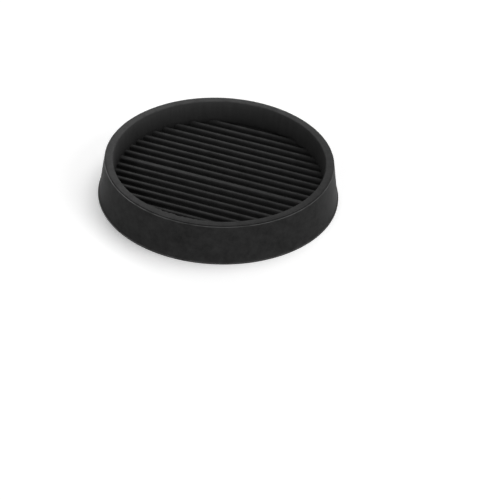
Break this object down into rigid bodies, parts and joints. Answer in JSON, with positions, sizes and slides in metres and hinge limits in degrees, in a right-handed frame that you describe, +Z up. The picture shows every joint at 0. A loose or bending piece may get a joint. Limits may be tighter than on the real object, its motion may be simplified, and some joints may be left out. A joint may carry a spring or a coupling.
{
  "type": "castor cup",
  "caption": "Moulded rubber castor cup: a shallow round tray with a ribbed floor and a flared wall, in which a furniture foot or castor stands to spare the floor.",
  "frame": {"origin": "centre of the underside, on the plane that the cup stands on", "axes": "+Z up along the cup's axis towards the open mouth, +X along the ribs, +Y across them"},
  "size_m": [0.0762, 0.0762, 0.013],
  "materials": {
    "black_rubber": "moulded black rubber, matte to satin, with a faint grey bloom"
  },
  "bodies": {
    "root": {"castor_cup": "black_rubber"}
  },
  "joints": []
}
